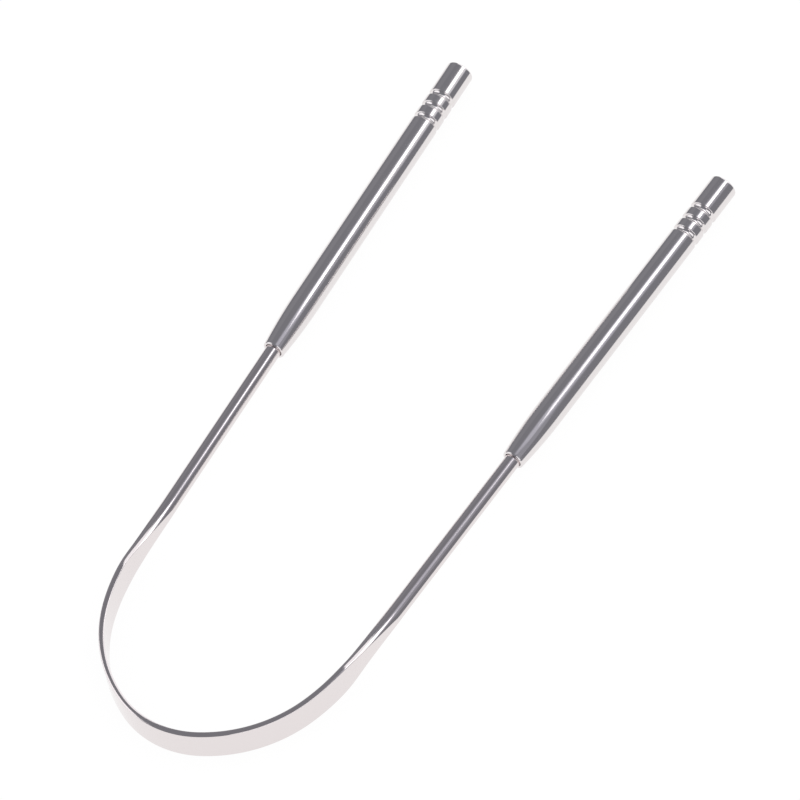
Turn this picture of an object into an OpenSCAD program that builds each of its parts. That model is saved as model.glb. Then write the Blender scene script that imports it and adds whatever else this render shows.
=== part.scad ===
/* [Overall] */
// Length from the nose of the bow to the tails of the handles
overall_len = 150; // [130:1:180]
// Outward lean of each arm, in degrees
arm_lean = 2.4; // [0:0.2:5]

/* [Wire] */
// Diameter of the round wire that the whole bow is made of
wire_d = 3.0; // [2.6:0.1:3.4]
// Thickness of the blade, where the wire is pressed flat
blade_t = 1.05; // [0.8:0.05:1.3]
// Rounding of the blade's corners
edge_round = 0.15; // [0.05:0.05:0.25]

/* [Bow] */
// Centre-line radius at the nose of the bow
nose_r = 18; // [14:0.5:22]
// Heading at which the nose meets the side, in degrees
nose_turn = 26; // [15:1:40]
// Centre-line radius of the sides
side_r = 27; // [23:0.5:32]
// Heading at which the side meets the flank, in degrees
side_turn = 71; // [60:1:78]
// Centre-line radius of the flanks, where the bow runs out into the arms
flank_r = 41; // [34:1:60]

/* [Pressed stretch] */
// Length over which the round wire turns into the flat blade
press_len = 17.5; // [16:0.5:22]
// How far the pressed flats reach up the straight arm
press_reach = 13.5; // [12:0.5:16]

/* [Handle tubes] */
// Outside diameter of a handle tube
tube_d = 5.4; // [5:0.1:6.2]
// Wall of a handle tube
tube_wall = 0.4; // [0.3:0.05:0.5]
// Length of a handle tube, mouth to tail
tube_len = 70.5; // [60:0.5:85]
// Length of the neck that is swaged down toward the mouth
neck_len = 12; // [9:0.5:18]
// Outside diameter of the mouth
mouth_d = 4.2; // [4:0.05:4.6]
// Rounding of the outer edge at the tail
tail_round = 0.35; // [0.2:0.05:0.4]

/* [Rolled grooves] */
// Number of grooves in each handle
groove_count = 3; // [1:1:3]
// Distance from one groove to the next
groove_pitch = 2.9; // [2:0.1:3.2]
// Width of a groove at the surface
groove_w = 1.1; // [0.8:0.1:1.4]
// Depth of a groove
groove_depth = 0.45; // [0.3:0.05:0.5]
// Distance from the tail to the middle of the first groove
groove_inset = 7.65; // [5:0.05:9]

/* [Anchor plugs] */
// Length of the plug that closes the tail and holds the wire
plug_len = 17; // [16:0.5:22]
// Distance from the tail to the wire's tip inside the plug
tip_inset = 8; // [6:0.5:10]
// Chamfer that leads the wire into the plug
grip_lead = 0.3; // [0.1:0.1:0.5]
// Chamfer round the plug's face at the tail
face_chamfer = 0.15; // [0.05:0.05:0.25]

/* [Fits] */
// Gap all round between the wire and the mouth
mouth_gap = 0.08; // [0.04:0.01:0.12]
// Gap all round between plug and tube, and between wire and plug
press_gap = 0.02; // [0.01:0.01:0.05]

/* [Hidden] */

// Polished stainless steel, and the duller steel inside
steel = [0.78, 0.78, 0.80];
plug_steel = [0.62, 0.62, 0.64];

// Fineness of round sections and of the long neck curves
round_fn = 96;
neck_fn = 2400;
// Steps over each crown of the bow's section, and sections over half the bow
crown_steps = 12;
half_rings = 42;

// Pressing moves the metal but keeps the section's area, so the height of the
// blade follows from the wire and the thickness
blade_h = flat_h(blade_t) + wire_d - 2 * corner_rise(blade_t);
mid_z = blade_h / 2;

// The arm's own heading, the middles of the arcs, and where the arm leaves the last
// one. The origin lies under the middle of the overall length.
arm_turn = 90 - arm_lean;
nose_mid = [0, blade_t / 2 + nose_r - overall_len / 2];
side_mid = nose_mid + (nose_r - side_r) * outward(nose_turn);
flank_mid = side_mid + (side_r - flank_r) * outward(side_turn);
arm_root = flank_mid + flank_r * outward(arm_turn);

// Length of centre line from the nose to the end of each arc
nose_end = arc_len(nose_r, nose_turn);
side_end = nose_end + arc_len(side_r, side_turn - nose_turn);
root_end = side_end + arc_len(flank_r, arm_turn - side_turn);
// Where the pressed flats stop and the round arm begins, and where the tail is
arm_start = root_end + press_reach;
tail_end = root_end + (overall_len / 2 - arm_root[1]) / sin(arm_turn);

// How fast the thickness grows along the press
press_power = 1.4;
// The sections that meet the round arm are this share of the full size and run
// this far into it, so that the two join without a seam on the surface
tuck_share = 0.985;
tuck_len = 0.6;
// Thickness at the top of the press, as a share of the wire
press_top_share = 0.985;

tube_r = tube_d / 2;
bore_r = tube_r - tube_wall;
mouth_r = mouth_d / 2;
mouth_bore_r = wire_d / 2 + mouth_gap;
// Radius of the circle that rolls a groove of this width and depth
groove_r = arc_radius(groove_w / 2, groove_depth);
// Rounding that runs over the lip of the mouth, from outside to bore
lip_r = (mouth_r - mouth_bore_r) / 2;

plug_r = bore_r - press_gap;
grip_r = wire_d / 2 + press_gap;
// Overrun for cuts
over = 0.5;

// Length of an arc, and radius of the arc that drops by one size over another
function arc_len(r, turn) = r * turn * PI / 180;
function arc_radius(run, drop) = (run * run + drop * drop) / (2 * drop);

// Unit vectors square to a heading, away from the bow's middle, and along it
function outward(turn) = [sin(turn), -cos(turn)];
function along(turn) = [cos(turn), sin(turn)];

// Heading and place on the right half's centre line, s from the nose
function turn_at(s) =
    s < nose_end ? s / nose_end * nose_turn
    : s < side_end ? nose_turn + (s - nose_end) / (side_end - nose_end) * (side_turn - nose_turn)
    : s < root_end ? side_turn + (s - side_end) / (root_end - side_end) * (arm_turn - side_turn)
    : arm_turn;
function spot_at(s) =
    s < nose_end ? nose_mid + nose_r * outward(turn_at(s))
    : s < side_end ? side_mid + side_r * outward(turn_at(s))
    : s < root_end ? flank_mid + flank_r * outward(turn_at(s))
    : arm_root + (s - root_end) * along(arm_turn);

// Share of the press reached at s: 0 on the flat blade, 1 where the arm is round
function press_at(s) = min(1, max(0, 1 - (arm_start - s) / press_len));
function thickness(v) = blade_t + (press_top_share * wire_d - blade_t) * pow(v, press_power);

// The press flattens the sides only: the crown along each edge keeps the wire's own
// radius and runs into the rounded corners. Angle from straight up where they meet,
// how far the corner's middle lies above the crown's, and the area above that level.
function crown_turn(t) = asin(min(1, (t / 2 - edge_round) / (wire_d / 2 - edge_round)));
function corner_rise(t) = (wire_d / 2 - edge_round) * cos(crown_turn(t));
function crown_area(t) =
    wire_d * wire_d / 4 * crown_turn(t) * PI / 180
    + edge_round * edge_round * (90 - crown_turn(t)) * PI / 180
    - (t / 2 - edge_round) * corner_rise(t);
// Height of the flats, from the area that the wire brings along
function flat_h(t) = (PI / 4 * wire_d * wire_d - 2 * crown_area(t)) / t;

// Point of the upper edge whose surface faces a given angle from straight up
function edge_point(t, a) =
    abs(a) < crown_turn(t) ? [wire_d / 2 * sin(a), flat_h(t) / 2 - corner_rise(t) + wire_d / 2 * cos(a)]
    : [sign(a) * (t / 2 - edge_round) + edge_round * sin(a), flat_h(t) / 2 + edge_round * cos(a)];

// Outline of the pressed wire: the upper edge, then the lower one
function section(t) = [
    for (side = [1, -1], i = [0 : crown_steps])
        side * edge_point(t, 90 - 180 * i / crown_steps)
];

// Ring of points around the centre line; s below zero is the left half
function ring_at(s, size) =
    let (
        hand = s < 0 ? -1 : 1,
        at = spot_at(abs(s)),
        out = outward(turn_at(abs(s)))
    )
    [
        for (p = section(thickness(press_at(abs(s)))))
            [hand * at[0] + size * p[0] * hand * out[0], at[1] + size * p[0] * out[1], mid_z + size * p[1]]
    ];

// Solid swept over rings that have equally many points
module loft(rings) {
    n = len(rings[0]);
    last = (len(rings) - 1) * n;
    polyhedron(
        points = [for (ring = rings) each ring],
        faces = [
            [for (i = [n - 1 : -1 : 0]) i],
            for (k = [0 : len(rings) - 2], i = [0 : n - 1])
                let (a = k * n + i, b = k * n + (i + 1) % n)
                    each [[a, b + n, a + n], [a, b, b + n]],
            [for (i = [0 : n - 1]) last + i],
        ]
    );
}

// Flat blade and both pressed stretches, from arm to arm
module pressed_bow() {
    loft([
        ring_at(-arm_start - tuck_len, tuck_share),
        ring_at(-arm_start, tuck_share),
        for (k = [1 - half_rings : half_rings - 1])
            ring_at(k / half_rings * arm_start, 1),
        ring_at(arm_start, tuck_share),
        ring_at(arm_start + tuck_len, tuck_share),
    ]);
}

// Puts children on the right arm at s, with +Z toward the tail
module on_arm(s) {
    at = spot_at(s);
    translate([at[0], at[1], mid_z])
        rotate([0, 0, -arm_lean])
            rotate([-90, 0, 0])
                children();
}

// Round wire from the end of the press to its tip in the plug
module round_arm() {
    on_arm(arm_start)
        cylinder(d = wire_d, h = tail_end - tip_inset - arm_start, $fn = round_fn);
}

// Half section of a tube's surface, mouth at zero: straight, then swaged in to end_r
module swaged_half(r, end_r, len) {
    run = neck_len - lip_r;
    sweep_r = arc_radius(run, r - end_r);
    translate([0, neck_len])
        square([r, len - neck_len]);
    intersection() {
        translate([0, lip_r])
            square([r, run]);
        translate([r - sweep_r, neck_len])
            circle(r = sweep_r, $fn = neck_fn);
    }
}

// Circles about the middle of each rolled groove, at radius r
module groove_circles(r) {
    for (k = [0 : groove_count - 1])
        translate([tube_r - groove_depth + groove_r, tube_len - groove_inset - k * groove_pitch])
            circle(r = r, $fn = round_fn);
}

// Handle tube along +Z: swaged mouth, grooves rolled through the wall, rounded tail
module tube() {
    rotate_extrude($fn = round_fn) {
        difference() {
            union() {
                swaged_half(tube_r, mouth_r, tube_len - tail_round);
                translate([0, neck_len])
                    square([tube_r - tail_round, tube_len - neck_len]);
                translate([tube_r - tail_round, tube_len - tail_round])
                    circle(r = tail_round, $fn = round_fn);
            }
            groove_circles(groove_r);
            difference() {
                swaged_half(bore_r, mouth_bore_r, tube_len + over);
                groove_circles(groove_r + tube_wall);
            }
        }
        translate([mouth_bore_r + lip_r, lip_r])
            circle(r = lip_r, $fn = round_fn);
    }
}

// Plug along +Z in the tube's place: a neck under each groove, blind bore for the wire
module plug() {
    mouth = tube_len - plug_len;
    rotate_extrude($fn = round_fn)
        difference() {
            polygon([
                [0, mouth], [plug_r, mouth],
                [plug_r, tube_len - face_chamfer], [plug_r - face_chamfer, tube_len],
                [0, tube_len],
            ]);
            groove_circles(groove_r + tube_wall + press_gap);
            translate([0, mouth - over])
                square([grip_r, over + plug_len - tip_inset + press_gap]);
            translate([0, mouth])
                polygon([[0, 0], [grip_r + grip_lead, 0], [grip_r, grip_lead], [0, grip_lead]]);
        }
}

module scraper_bow() {
    color(steel) {
        pressed_bow();
        round_arm();
        mirror([1, 0, 0])
            round_arm();
    }
}

module handle_tube_right() {
    color(steel)
        on_arm(tail_end - tube_len)
            tube();
}

module handle_tube_left() {
    mirror([1, 0, 0])
        handle_tube_right();
}

module anchor_plug_right() {
    color(plug_steel)
        on_arm(tail_end - tube_len)
            plug();
}

module anchor_plug_left() {
    mirror([1, 0, 0])
        anchor_plug_right();
}

scraper_bow();
handle_tube_left();
handle_tube_right();
anchor_plug_left();
anchor_plug_right();
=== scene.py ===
import math

import bpy
from mathutils import Matrix, Vector


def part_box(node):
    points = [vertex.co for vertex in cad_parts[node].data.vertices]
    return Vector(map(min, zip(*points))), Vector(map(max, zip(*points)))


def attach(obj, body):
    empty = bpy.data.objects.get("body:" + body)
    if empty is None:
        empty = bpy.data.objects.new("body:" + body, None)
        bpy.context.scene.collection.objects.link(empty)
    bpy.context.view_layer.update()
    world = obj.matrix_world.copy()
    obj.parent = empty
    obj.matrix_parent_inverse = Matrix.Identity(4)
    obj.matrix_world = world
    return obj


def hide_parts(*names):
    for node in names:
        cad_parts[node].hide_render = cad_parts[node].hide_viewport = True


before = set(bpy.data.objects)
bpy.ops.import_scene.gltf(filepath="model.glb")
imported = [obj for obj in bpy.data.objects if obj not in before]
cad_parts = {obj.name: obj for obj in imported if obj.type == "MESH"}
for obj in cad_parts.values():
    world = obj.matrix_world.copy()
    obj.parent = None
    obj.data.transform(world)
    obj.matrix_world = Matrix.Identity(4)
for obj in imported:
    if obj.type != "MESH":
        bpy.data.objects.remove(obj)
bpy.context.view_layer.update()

mm = 0.001
bowLow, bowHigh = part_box("scraper_bow")
midHeight = (bowLow.z + bowHigh.z) / 2 / mm     # the wire's centre line lies in this plane
noseFront = bowLow.y / mm
print("frame loaded, nodes:", ", ".join(sorted(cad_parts)))


# colours and nodes

def toLinear(hexColour):
    parts = [int(hexColour[i:i + 2], 16) / 255 for i in (1, 3, 5)]
    return [c / 12.92 if c <= 0.04045 else ((c + 0.055) / 1.055) ** 2.4 for c in parts] + [1.0]


def addNode(tree, kind, place, settings=None, links=None):
    node = tree.nodes.new(kind)
    node.location = place
    for name, value in (settings or {}).items():
        if name in node.inputs:
            node.inputs[name].default_value = value
        else:
            setattr(node, name, value)
    for name, source in (links or {}).items():
        tree.links.new(source, node.inputs[name])
    return node


def newMaterial(name):
    material = bpy.data.materials.new(name)
    material.use_nodes = True
    material.node_tree.nodes.clear()
    return material, material.node_tree


# Polished 304 stainless: cold drawn, then tumbled and buffed. It mirrors the studio sharply, with faint
# lines along the drawing direction and a slightly uneven depth of polish. Real drawing lines are finer and
# are drawn about 0.1 mm apart here, so that they show. The attribute "stock" holds each point's place on
# the straight stock in mm: two ways across, then along.

def makePolishedSteel(name, tint, lineSpacing, lineLength, lineDepth, smooth, rough):
    buffScale = 0.28                       # the buffing wheel leaves patches of about 3.5 mm
    material, tree = newMaterial(name)
    stock = addNode(tree, "ShaderNodeAttribute", (-1100, 0), {"attribute_name": "stock"})
    stretch = addNode(tree, "ShaderNodeMapping", (-900, 150),
                      {"Scale": (1 / lineSpacing, 1 / lineSpacing, 1 / lineLength)},
                      {"Vector": stock.outputs["Vector"]})
    lines = addNode(tree, "ShaderNodeTexNoise", (-700, 150), {"Scale": 1.0, "Detail": 3.0},
                    {"Vector": stretch.outputs["Vector"]})
    buffing = addNode(tree, "ShaderNodeTexNoise", (-700, -200), {"Scale": buffScale, "Detail": 2.0},
                      {"Vector": stock.outputs["Vector"]})
    polish = addNode(tree, "ShaderNodeMapRange", (-450, -200),
                     {"From Min": 0.3, "From Max": 0.7, "To Min": smooth, "To Max": rough},
                     {"Value": buffing.outputs["Fac"]})
    bump = addNode(tree, "ShaderNodeBump", (-450, 150), {"Strength": 1.0, "Distance": lineDepth * mm},
                   {"Height": lines.outputs["Fac"]})
    metal = addNode(tree, "ShaderNodeBsdfPrincipled", (-150, 0),
                    {"Base Color": toLinear(tint), "Metallic": 1.0},
                    {"Roughness": polish.outputs["Result"], "Normal": bump.outputs["Normal"]})
    addNode(tree, "ShaderNodeOutputMaterial", (150, 0), links={"Surface": metal.outputs["BSDF"]})
    return material


# Turned mild steel bar: duller than the polished stainless, with the rings that the lathe tool left on the
# plug's end, one for each feed step in mm.

def makeTurnedSteel(name, tint, feed, depth, roughness):
    wavePeriod = 0.314                     # distance between the wave texture's rings at a scale of 1
    material, tree = newMaterial(name)
    stock = addNode(tree, "ShaderNodeAttribute", (-1000, 0), {"attribute_name": "stock"})
    rings = addNode(tree, "ShaderNodeTexWave", (-750, 0),
                    {"wave_type": "RINGS", "rings_direction": "Z", "Scale": wavePeriod / feed,
                     "Distortion": 0.4},
                    {"Vector": stock.outputs["Vector"]})
    bump = addNode(tree, "ShaderNodeBump", (-450, 0), {"Strength": 1.0, "Distance": depth * mm},
                   {"Height": rings.outputs["Fac"]})
    metal = addNode(tree, "ShaderNodeBsdfPrincipled", (-150, 0),
                    {"Base Color": toLinear(tint), "Metallic": 1.0, "Roughness": roughness},
                    {"Normal": bump.outputs["Normal"]})
    addNode(tree, "ShaderNodeOutputMaterial", (150, 0), links={"Surface": metal.outputs["BSDF"]})
    return material


drawnSteel = makePolishedSteel("drawn_stainless_polished", "#E5DEDE", lineSpacing=0.10, lineLength=9.0,
                               lineDepth=0.0003, smooth=0.09, rough=0.13)
tubeSteel = makePolishedSteel("tube_stainless_polished", "#E6E1E1", lineSpacing=0.12, lineLength=12.0,
                              lineDepth=0.0003, smooth=0.09, rough=0.13)
barSteel = makeTurnedSteel("turned_steel_bar", "#CFCDCE", feed=0.12, depth=0.004, roughness=0.32)
print("steels mixed")


# tools shared by the pieces

def startPiece(name):
    piece = bpy.context.object
    bpy.ops.object.select_all(action="DESELECT")
    piece.select_set(True)
    piece.name = piece.data.name = name
    bpy.ops.object.transform_apply(location=True, rotation=True, scale=True)
    return piece


def editPiece(piece):
    bpy.ops.object.select_all(action="DESELECT")
    bpy.context.view_layer.objects.active = piece
    piece.select_set(True)
    bpy.ops.object.mode_set(mode="EDIT")


def applyModifier(piece, kind, **settings):
    modifier = piece.modifiers.new(kind.title(), kind)
    for name, value in settings.items():
        setattr(modifier, name, value)
    bpy.context.view_layer.objects.active = piece
    bpy.ops.object.modifier_apply(modifier=modifier.name)


def faceOutward(piece):
    editPiece(piece)
    bpy.ops.mesh.select_all(action="SELECT")
    bpy.ops.mesh.normals_make_consistent(inside=False)
    bpy.ops.object.mode_set(mode="OBJECT")


def markStock(piece, places):
    stock = piece.data.attributes.new("stock", "FLOAT_VECTOR", "POINT")
    for item, place in zip(stock.data, places):
        item.vector = place


def finishPiece(piece, material, slot, *nodes):
    for face in piece.data.polygons:
        face.use_smooth = True
    piece.data.materials.clear()
    piece.data.materials.append(material)
    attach(piece, "root")
    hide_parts(*nodes)
    print(piece.name, "done,", len(piece.data.polygons), "faces")


# the bow: one round wire, bent to a U and pressed flat in the middle, sizes in mm

bow = dict(
    wireDia=3.0,
    bladeThick=1.05,
    edgeRound=0.15,                        # tumbling leaves the blade's corners this round
    noseRadius=18.0, noseTurn=26.0,        # three arcs a side, each up to its own heading
    sideRadius=27.0, sideTurn=71.0,
    flankRadius=41.0, armLean=2.4,
    pressLength=17.5, pressReach=13.5,     # the press runs this far up the straight arm
    pressPower=1.4, pressEase=2.0,         # the dies' rounded edges ease both ends of the press
    tipInset=8.0,                          # the wire stops this far inside the tail
    around=96,
    bendStep=0.5, pressStep=0.4, armStep=4.0,
    flatFade=0.3,                          # the side's points reach its ends once the flat is this long
    seamWeld=0.02,
)
wireArea = math.pi / 4 * bow["wireDia"] ** 2
armTurn = 90 - bow["armLean"]


def outward(turn):
    return Vector((math.sin(math.radians(turn)), -math.cos(math.radians(turn))))


def along(turn):
    return Vector((math.cos(math.radians(turn)), math.sin(math.radians(turn))))


def layOutBends():
    radius, turn, start = bow["noseRadius"], 0.0, 0.0
    middle = Vector((0, noseFront + bow["bladeThick"] / 2 + radius))
    bends = []
    for nextRadius, endTurn in ((bow["noseRadius"], bow["noseTurn"]), (bow["sideRadius"], bow["sideTurn"]),
                                (bow["flankRadius"], armTurn)):
        middle = middle + (radius - nextRadius) * outward(turn)
        radius = nextRadius
        bends.append(dict(middle=middle, radius=radius, start=start, fromTurn=turn, toTurn=endTurn))
        start += radius * math.radians(endTurn - turn)
        turn = endTurn
    return bends, middle + radius * outward(armTurn), start


bends, armRoot, rootStation = layOutBends()
armStart = rootStation + bow["pressReach"]
tailEnd = rootStation + (-noseFront - armRoot.y) / math.sin(math.radians(armTurn))


def findOnWire(x, y):                      # station along the wire, distance outward, centre and heading
    slack = 0.001
    for bend in bends:
        arm = Vector((x, y)) - bend["middle"]
        turn = math.degrees(math.atan2(arm.x, -arm.y))
        if turn <= bend["toTurn"] + slack:
            station = bend["start"] + bend["radius"] * math.radians(turn - bend["fromTurn"])
            centre = bend["middle"] + bend["radius"] * outward(turn)
            return station, arm.length - bend["radius"], centre, turn
    arm = Vector((x, y)) - armRoot
    run = arm.dot(along(armTurn))
    return rootStation + run, arm.dot(outward(armTurn)), armRoot + run * along(armTurn), armTurn


def eased(share, ease):                    # a sharp start at 0, rounded off over this much to both sides
    if abs(share) > ease:
        return max(0.0, share)
    return (share + ease) ** 2 / (4 * ease)


def pressedThickness(station):
    ease = bow["pressEase"] / bow["pressLength"]
    share = eased(1 - (armStart - station) / bow["pressLength"], ease)
    share = 1 - eased(1 - share, ease)
    return bow["bladeThick"] + (bow["wireDia"] - bow["bladeThick"]) * share ** bow["pressPower"]


def pressSection(thick, angle):            # angle round the wire from the top; the area stays the wire's
    radius = bow["wireDia"] / 2
    corner = bow["edgeRound"]
    crownTurn = math.asin(min(1.0, (thick / 2 - corner) / (radius - corner)))
    cornerRise = (radius - corner) * math.cos(crownTurn)
    crownArea = (radius ** 2 * crownTurn + corner ** 2 * (math.pi / 2 - crownTurn)
                 - (thick / 2 - corner) * cornerRise)
    flat = max(0.0, (wireArea - 2 * crownArea) / thick)
    side = math.copysign(1, math.sin(angle)) if abs(math.sin(angle)) > 1e-6 else 0
    end = math.copysign(1, math.cos(angle))
    quarter = math.asin(min(1.0, abs(math.sin(angle))))
    if quarter > math.pi / 2 - 1e-4:
        return side * thick / 2, 0.0
    pair = 2 * math.pi / bow["around"]     # the point next to each side moves to the end of its flat
    share = min(1.0, flat / bow["flatFade"])
    turn = min(math.pi / 2, quarter * (1 + share * pair / (math.pi / 2 - pair)))
    if turn <= crownTurn:
        return side * radius * math.sin(turn), end * (flat / 2 - cornerRise + radius * math.cos(turn))
    return (side * (thick / 2 - corner + corner * math.sin(turn)),
            end * (flat / 2 + corner * math.cos(turn)))


def bendWire():
    radius = bow["wireDia"] / 2 * mm
    nose = bends[0]["middle"] + bends[0]["radius"] * outward(0)
    bpy.ops.mesh.primitive_circle_add(vertices=bow["around"], radius=radius, rotation=(0, math.pi / 2, 0),
                                      location=(0, nose.y * mm, midHeight * mm))
    wire = startPiece("scraperBow")
    editPiece(wire)
    bpy.ops.mesh.select_all(action="SELECT")
    for bend in bends:
        turn = math.radians(bend["toTurn"] - bend["fromTurn"])
        steps = math.ceil(bend["radius"] * turn / bow["bendStep"])
        bpy.ops.mesh.spin(steps=steps, angle=turn, axis=(0, 0, -1),
                          center=(bend["middle"].x * mm, bend["middle"].y * mm, 0))
    heading = along(armTurn).to_3d()
    tip = tailEnd - bow["tipInset"]
    pressEnd = armStart + bow["pressEase"]
    for start, end, step in ((rootStation, pressEnd, bow["pressStep"]), (pressEnd, tip, bow["armStep"])):
        count = math.ceil((end - start) / step)
        for _ in range(count):
            bpy.ops.mesh.extrude_region_move(
                TRANSFORM_OT_translate={"value": heading * ((end - start) / count * mm)})
    bpy.ops.mesh.edge_face_add()
    bpy.ops.object.mode_set(mode="OBJECT")
    return wire


def pressBlade(wire):
    places = []
    for point in wire.data.vertices:
        station, out, centre, turn = findOnWire(point.co.x / mm, point.co.y / mm)
        up = point.co.z / mm - midHeight
        places.append((out, up, station))
        out, up = pressSection(pressedThickness(station), math.atan2(out, up))
        spot = centre + out * outward(turn)
        point.co = (spot.x * mm, spot.y * mm, (midHeight + up) * mm)
    return places


wire = bendWire()
markStock(wire, pressBlade(wire))
applyModifier(wire, "MIRROR", use_axis=(True, False, False), use_clip=True,
              merge_threshold=bow["seamWeld"] * mm)
faceOutward(wire)
finishPiece(wire, drawnSteel, "polished_steel", "scraper_bow")


# handle tubes: thin drawn tube, mouth swaged down round the wire, grooves rolled in near the tail

tube = dict(
    dia=5.4, wall=0.4, length=70.5,
    neckLength=12.0, mouthDia=4.2, mouthGap=0.08,
    tailRound=0.35,
    grooveCount=3, groovePitch=2.9, grooveWidth=1.1, grooveDepth=0.45, grooveInset=7.65,
    shoulder=0.14,                         # the roller leaves the groove's edges rounded by this much
    longRun=1.2, holdRing=0.08,            # a straight longer than this gets a ring this close to each end
    around=96,
    lipPoints=12, neckPoints=26, rollPoints=12, shoulderPoints=5, edgePoints=8, borePoints=12,
    weld=0.002,
)


def arcRadius(run, drop):
    return (run ** 2 + drop ** 2) / (2 * drop)


def arcPoints(middle, radius, start, end, count):
    angles = [math.radians(start + (end - start) * k / count) for k in range(count + 1)]
    return [(middle[0] + radius * math.cos(a), middle[1] + radius * math.sin(a)) for a in angles]


def rollCircle():                          # the roll's distance from the tube's axis, and its radius
    radius = arcRadius(tube["grooveWidth"] / 2, tube["grooveDepth"])
    return tube["dia"] / 2 - tube["grooveDepth"] + radius, radius


def grooveMiddles():                       # from the mouth to the tail
    last = tube["length"] - tube["grooveInset"]
    return [last - k * tube["groovePitch"] for k in reversed(range(tube["grooveCount"]))]


def grooveProfile(middle):
    rollAxis, rollRadius = rollCircle()
    reach = rollRadius + tube["shoulder"]
    rise = reach - tube["grooveDepth"]
    half = math.sqrt(reach ** 2 - rise ** 2)
    meet = math.degrees(math.acos(rise / reach))
    edge = tube["dia"] / 2 - tube["shoulder"]
    return (arcPoints((edge, middle - half), tube["shoulder"], 0, meet, tube["shoulderPoints"])
            + arcPoints((rollAxis, middle), rollRadius, 180 + meet, 180 - meet, tube["rollPoints"])[1:-1]
            + arcPoints((edge, middle + half), tube["shoulder"], -meet, 0, tube["shoulderPoints"]))


def innerBead(middle):                     # rolling pushes the wall in, a bead in the bore for each groove
    rollAxis, rollRadius = rollCircle()
    reach = rollRadius + tube["wall"]
    meet = math.degrees(math.acos((rollAxis - tube["dia"] / 2 + tube["wall"]) / reach))
    return arcPoints((rollAxis, middle), reach, 180 - meet, 180 + meet, tube["rollPoints"])


def holdStraights(profile):                # a ring near each end keeps the shading of a long straight flat
    held = [profile[0]]
    for first, second in zip(profile, profile[1:]):
        run = Vector(second) - Vector(first)
        if run.length > tube["longRun"]:
            held.append(tuple(Vector(first) + tube["holdRing"] * run.normalized()))
            held.append(tuple(Vector(second) - tube["holdRing"] * run.normalized()))
        held.append(second)
    return held


def tubeProfile():
    outside = tube["dia"] / 2
    mouth = tube["mouthDia"] / 2
    mouthBore = bow["wireDia"] / 2 + tube["mouthGap"]
    lip = (mouth - mouthBore) / 2
    run = tube["neckLength"] - lip
    sweep = arcRadius(run, outside - mouth)
    end = math.degrees(math.asin(run / sweep))
    profile = arcPoints((mouthBore + lip, lip), lip, 180, 360, tube["lipPoints"])
    profile += arcPoints((outside - sweep, tube["neckLength"]), sweep, -end, 0, tube["neckPoints"])[1:]
    for middle in grooveMiddles():
        profile += grooveProfile(middle)
    edge = tube["tailRound"]
    profile += arcPoints((outside - edge, tube["length"] - edge), edge, 0, 90, tube["edgePoints"])
    bore = outside - tube["wall"]
    boreSweep = arcRadius(run, bore - mouthBore)
    boreEnd = math.degrees(math.asin(run / boreSweep))
    profile += [(bore, tube["length"])]
    for middle in reversed(grooveMiddles()):
        profile += innerBead(middle)
    profile += arcPoints((bore - boreSweep, tube["neckLength"]), boreSweep, 0, -boreEnd, tube["borePoints"])
    return holdStraights(profile)


def turnOnLathe(name, profile, around, filled=False):
    radius, height = profile[0]
    bpy.ops.mesh.primitive_circle_add(vertices=around, radius=radius * mm, location=(0, 0, height * mm),
                                      fill_type="NGON" if filled else "NOTHING")
    piece = startPiece(name)
    editPiece(piece)
    bpy.ops.mesh.select_all(action="SELECT")
    for nextRadius, nextHeight in profile[1:]:
        rise = (nextHeight - height) * mm
        bpy.ops.mesh.extrude_region_move(TRANSFORM_OT_translate={"value": (0, 0, rise)})
        share = nextRadius / radius
        bpy.ops.transform.resize(value=(share, share, 1), center_override=(0, 0, nextHeight * mm))
        radius, height = nextRadius, nextHeight
    bpy.ops.mesh.select_all(action="SELECT")
    bpy.ops.mesh.remove_doubles(threshold=tube["weld"] * mm)
    bpy.ops.mesh.normals_make_consistent(inside=False)
    bpy.ops.object.mode_set(mode="OBJECT")
    return piece


def seatOnArm(piece, side):                # from upright at the origin to its place, mouth toward the bow
    markStock(piece, [point.co / mm for point in piece.data.vertices])
    spot = armRoot + (tailEnd - tube["length"] - rootStation) * along(armTurn)
    across, heading = outward(armTurn).to_3d(), along(armTurn).to_3d()
    spot.x, across.x, heading.x = side * spot.x, side * across.x, side * heading.x
    up = heading.cross(across)
    turn = Matrix((across, up, heading)).transposed().to_4x4()
    piece.data.transform(Matrix.Translation((spot.x * mm, spot.y * mm, midHeight * mm)) @ turn)


for side, name in ((-1, "left"), (1, "right")):
    handle = turnOnLathe("handleTube" + name.title(), tubeProfile(), tube["around"])
    seatOnArm(handle, side)
    finishPiece(handle, tubeSteel, "polished_steel", "handle_tube_" + name)


# anchor plugs: turned bar that closes the tail, necked under the grooves, bored for the wire's tip

plug = dict(
    length=17.0, gap=0.02, lead=0.3,
    endChamfer=0.15,
    around=64, neckPoints=10,
    sharpAngle=35.0,                       # edges steeper than this stay crisp
)


def plugProfile():
    bore = bow["wireDia"] / 2 + plug["gap"]
    outside = tube["dia"] / 2 - tube["wall"] - plug["gap"]
    mouth = tube["length"] - plug["length"]
    rollAxis, rollRadius = rollCircle()
    neck = rollRadius + tube["wall"] + plug["gap"]
    meet = math.degrees(math.acos((rollAxis - outside) / neck))
    profile = [(bore, tube["length"] - bow["tipInset"] + plug["gap"]), (bore, mouth + plug["lead"]),
               (bore + plug["lead"], mouth), (outside, mouth)]
    for middle in grooveMiddles():
        profile += arcPoints((rollAxis, middle), neck, 180 + meet, 180 - meet, plug["neckPoints"])
    profile += [(outside, tube["length"] - plug["endChamfer"]),
                (outside - plug["endChamfer"], tube["length"])]
    return profile


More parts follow.
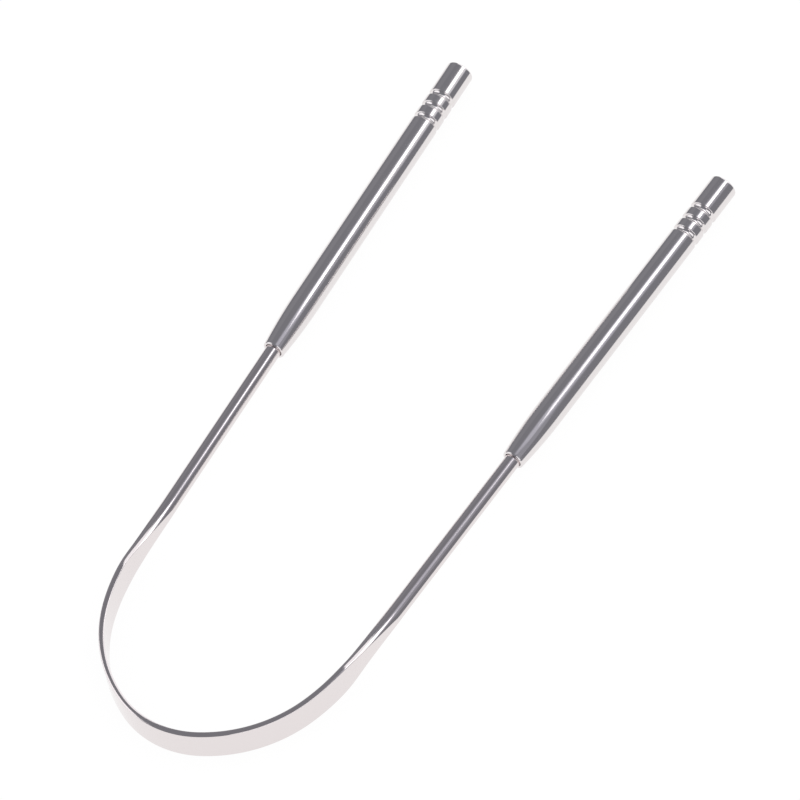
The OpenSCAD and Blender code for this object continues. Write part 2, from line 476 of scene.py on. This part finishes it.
for side, name in ((-1, "left"), (1, "right")):
    stopper = turnOnLathe("anchorPlug" + name.title(), plugProfile(), plug["around"], filled=True)
    seatOnArm(stopper, side)
    finishPiece(stopper, barSteel, "plain_steel", "anchor_plug_" + name)
    applyModifier(stopper, "EDGE_SPLIT", split_angle=math.radians(plug["sharpAngle"]))


# studio: white sweep below, dim room above, a long softbox over the handles with paler panels beside it

studio = dict(                             # mm and degrees, glow 1 is the white of the paper
    floorSize=4000.0,
    roomGrey="#818288",
    paperTone="#F4F2F2",
    paperWhite=0.95,                       # share of the sweep that is simply burnt out
    grazing=0.20, grazingFade=0.04,        # below this slope the steel sees the paper's sheen, not white
    sheenRoughness=0.1,
)
panels = dict(                             # middle, size, yaw, way it faces, glow, colour
    softbox=((310, 612, 500), (178, 797), -21, (0, 0, -1), 0.95, "#FFFFFF"),
    softbox_skirt=((637, 561, 515), (108, 830), -45, (0, 0, -1), 0.16, "#F4F4FF"),
    softbox_wing=((478, 520, 510), (420, 110), 31, (0, 0, -1), 0.5, "#FFFFFF"),
    ceiling_bounce=((205, 244, 505), (279, 228), 16, (0, 0, -1), 0.22, "#F0F1FF"),
    right_bounce=((598, 227, 510), (1170, 249), 1, (0, 0, -1), 0.12, "#F0F1FF"),
    back_wall=((200, 3000, 2350), (4600, 4700), -13, (0, -1, 0), 0.9, "#FFFFFF"),
    left_haze=((-1500, 940, 1100), (1500, 1400), 0, (1, 0, 0), 0.03, "#FFFFFF"),
    left_haze_core=((-1500, 940, 1100), (800, 700), 0, (1, 0, 0), 0.03, "#FFFFFF"),
    left_panel=((-800, -550, 800), (1300, 1400), 0, (1, 0, 0), 1.0, "#FFFFFF"),
    right_panel=((800, -550, 800), (1300, 1400), 0, (-1, 0, 0), 1.0, "#FFFFFF"),
)


def makeFloor():
    bpy.ops.object.select_all(action="DESELECT")
    bpy.ops.mesh.primitive_plane_add(size=studio["floorSize"] * mm, location=(0, 0, 0))
    floor = bpy.context.object
    floor.name = "floor"
    material, tree = newMaterial("pale_paper_sweep")
    rays = addNode(tree, "ShaderNodeLightPath", (-700, 200))
    seen = addNode(tree, "ShaderNodeMath", (-500, 200), {"operation": "MAXIMUM"})
    tree.links.new(rays.outputs["Is Camera Ray"], seen.inputs[0])
    tree.links.new(rays.outputs["Is Glossy Ray"], seen.inputs[1])
    share = addNode(tree, "ShaderNodeMath", (-300, 200), {"operation": "MULTIPLY"})
    tree.links.new(seen.outputs[0], share.inputs[0])
    share.inputs[1].default_value = studio["paperWhite"]
    paper = addNode(tree, "ShaderNodeBsdfDiffuse", (-300, 0), {"Color": toLinear(studio["paperTone"])})
    white = addNode(tree, "ShaderNodeEmission", (-300, -150), {"Color": (1, 1, 1, 1), "Strength": 1.0})
    mixed = addNode(tree, "ShaderNodeMixShader", (-50, 0), None, {"Fac": share.outputs[0]})
    tree.links.new(paper.outputs[0], mixed.inputs[1])
    tree.links.new(white.outputs[0], mixed.inputs[2])
    slope = addNode(tree, "ShaderNodeLayerWeight", (-300, 450), {"Blend": 0.5})
    sheen = addNode(tree, "ShaderNodeMapRange", (-50, 450),
                    {"From Min": 1 - (studio["grazing"] + studio["grazingFade"]),
                     "From Max": 1 - (studio["grazing"] - studio["grazingFade"])},
                    {"Value": slope.outputs["Facing"]})
    mirrored = addNode(tree, "ShaderNodeMath", (100, 450), {"operation": "MULTIPLY"})
    tree.links.new(sheen.outputs["Result"], mirrored.inputs[0])
    tree.links.new(rays.outputs["Is Glossy Ray"], mirrored.inputs[1])
    gloss = addNode(tree, "ShaderNodeBsdfGlossy", (-50, -200),
                    {"Color": (1, 1, 1, 1), "Roughness": studio["sheenRoughness"]})
    coated = addNode(tree, "ShaderNodeMixShader", (200, 0), None, {"Fac": mirrored.outputs[0]})
    tree.links.new(mixed.outputs[0], coated.inputs[1])
    tree.links.new(gloss.outputs[0], coated.inputs[2])
    addNode(tree, "ShaderNodeOutputMaterial", (400, 0), links={"Surface": coated.outputs[0]})
    floor.data.materials.append(material)


def makeRoom():                            # white all round, but the polished steel sees a dim room
    world = bpy.data.worlds.new("studio_room")
    bpy.context.scene.world = world
    world.use_nodes = True
    tree = world.node_tree
    tree.nodes.clear()
    rays = addNode(tree, "ShaderNodeLightPath", (-500, 200))
    white = addNode(tree, "ShaderNodeBackground", (-300, 0), {"Color": (1, 1, 1, 1), "Strength": 1.0})
    room = addNode(tree, "ShaderNodeBackground", (-300, -150),
                   {"Color": toLinear(studio["roomGrey"]), "Strength": 1.0})
    mixed = addNode(tree, "ShaderNodeMixShader", (-50, 0), None, {"Fac": rays.outputs["Is Glossy Ray"]})
    tree.links.new(white.outputs[0], mixed.inputs[1])
    tree.links.new(room.outputs[0], mixed.inputs[2])
    addNode(tree, "ShaderNodeOutputWorld", (150, 0), links={"Surface": mixed.outputs[0]})


def addPanel(name, middle, size, yaw, facing, glow, colour):
    bpy.ops.object.light_add(type="AREA", location=[value * mm for value in middle])
    lamp = bpy.context.object
    lamp.name = name
    turn = Vector(facing).to_track_quat("-Z", "Y").to_matrix()
    lamp.rotation_euler = (Matrix.Rotation(math.radians(yaw), 3, "Z") @ turn).to_euler()
    lamp.data.shape = "RECTANGLE"
    lamp.data.size, lamp.data.size_y = size[0] * mm, size[1] * mm
    area = lamp.data.size * lamp.data.size_y
    lamp.data.energy = glow * math.pi * area     # an even glow, whatever its size
    lamp.data.color = toLinear(colour)[:3]


view = dict(                               # the photo's angle: mm and degrees, the clip end in metres
    aim=(-0.83, 7.97, 0.0),
    elevation=55.37, azimuth=41.36, roll=-11.28,
    distance=1160.0,
    lens=285.5, sensorWidth=36.0,
    clipEnd=20.0,
)


def addCamera():
    aim = Vector(view["aim"]) * mm
    elevation, azimuth, roll = [math.radians(view[name]) for name in ("elevation", "azimuth", "roll")]
    forward = Vector((-math.sin(azimuth) * math.cos(elevation), math.cos(azimuth) * math.cos(elevation),
                      -math.sin(elevation)))
    level = forward.cross(Vector((0, 0, 1))).normalized()
    upright = level.cross(forward)
    right = math.cos(roll) * level + math.sin(roll) * upright
    up = -math.sin(roll) * level + math.cos(roll) * upright
    bpy.ops.object.camera_add()
    camera = bpy.context.object
    turn = Matrix((right, up, -forward)).transposed().to_4x4()
    camera.matrix_world = Matrix.Translation(aim - forward * view["distance"] * mm) @ turn
    camera.data.lens = view["lens"]
    camera.data.sensor_width = view["sensorWidth"]
    camera.data.clip_end = view["clipEnd"]
    bpy.context.scene.camera = camera


makeFloor()
makeRoom()
for name, panel in panels.items():
    addPanel(name, *panel)
addCamera()
bpy.context.scene.view_settings.view_transform = "Standard"
print("studio lit")
